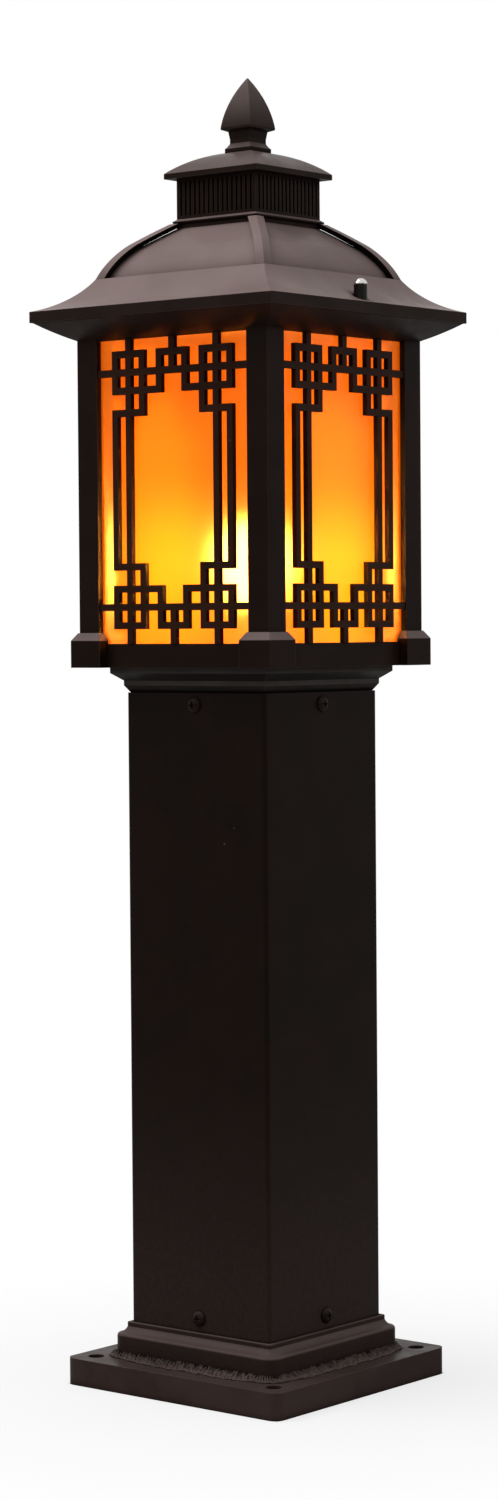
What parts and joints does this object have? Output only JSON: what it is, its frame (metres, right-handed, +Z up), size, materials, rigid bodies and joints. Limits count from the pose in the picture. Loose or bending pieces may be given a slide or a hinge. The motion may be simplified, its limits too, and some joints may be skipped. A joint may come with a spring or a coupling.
{
  "type": "garden lantern",
  "caption": "Square garden lantern on a bolted-down column, with a flared roof, fretwork windows and amber glass.",
  "frame": {"origin": "middle of the base plate's underside", "axes": "+Z up the column; the four sides face +X, -X, +Y and -Y; the two roof nuts are on the +X and -X sides"},
  "size_m": [0.2652, 0.2652, 1.115],
  "materials": {
    "dark_paint": "satin",
    "fret_paint": "satin",
    "amber_glass": "frosted",
    "weld": "rough",
    "screw_steel": "satin",
    "zinc_steel": "satin",
    "seal": "matt",
    "holder_ceramic": "glazed",
    "bulb_glass": "frosted",
    "bulb_metal": "satin",
    "black_plastic": "matt",
    "white_plastic": "matt"
  },
  "bodies": {
    "lamp": {"base_plate": "dark_paint", "base_socket": "dark_paint", "column": "dark_paint", "base_collar": "dark_paint", "neck": "dark_paint", "lantern_tray": "dark_paint", "top_frame": "dark_paint", "corner_post_1": "dark_paint", "corner_post_2": "dark_paint", "corner_post_3": "dark_paint", "corner_post_4": "dark_paint", "post_foot_1": "dark_paint", "post_foot_2": "dark_paint", "post_foot_3": "dark_paint", "post_foot_4": "dark_paint", "lattice_front": "fret_paint", "lattice_right": "fret_paint", "lattice_back": "fret_paint", "lattice_left": "fret_paint", "glass_front": "amber_glass", "glass_right": "amber_glass", "glass_back": "amber_glass", "glass_left": "amber_glass", "weld_bead": "weld", "column_screws_lower": "screw_steel", "column_screws_upper": "screw_steel", "neck_bolts": "zinc_steel", "post_screws_lower": "zinc_steel", "post_screws_upper": "zinc_steel", "roof_studs": "zinc_steel", "lamp_bracket": "zinc_steel", "bracket_screws": "zinc_steel", "earth_screw": "zinc_steel", "roof_gasket": "seal", "lampholder": "holder_ceramic", "cable_gland": "black_plastic", "terminal_lead": "black_plastic", "terminal_block": "white_plastic"},
    "roof": {"roof_skirt": "dark_paint", "roof_dome": "dark_paint", "hip_rib_1": "dark_paint", "hip_rib_2": "dark_paint", "hip_rib_3": "dark_paint", "hip_rib_4": "dark_paint", "vent_collar": "dark_paint", "roof_cap": "dark_paint", "finial": "dark_paint", "tie_washer": "zinc_steel", "tie_nut": "zinc_steel", "tie_rod": "zinc_steel", "stud_washers": "zinc_steel"},
    "cap_nut_right": {"cap_nut_right": "screw_steel"},
    "cap_nut_left": {"cap_nut_left": "screw_steel"},
    "bulb": {"bulb_cap": "bulb_metal", "bulb_glass": "bulb_glass"}
  },
  "joints": [
    {"name": "roof_lift", "type": "slide", "parent": "lamp", "child": "roof", "axis": [0, 0, 1], "range_m": [0, 0.15]},
    {"name": "nut_turn_right", "type": "hinge", "parent": "roof", "child": "cap_nut_right", "pos_m": [0.12, 0, 0.918], "axis": [0, 0, 1], "continuous": true},
    {"name": "nut_turn_left", "type": "hinge", "parent": "roof", "child": "cap_nut_left", "pos_m": [-0.12, 0, 0.918], "axis": [0, 0, 1], "continuous": true},
    {"name": "bulb_turn", "type": "hinge", "parent": "lamp", "child": "bulb", "pos_m": [0, 0, 0.6575], "axis": [0, 0, 1], "range_deg": [0, 810]}
  ]
}
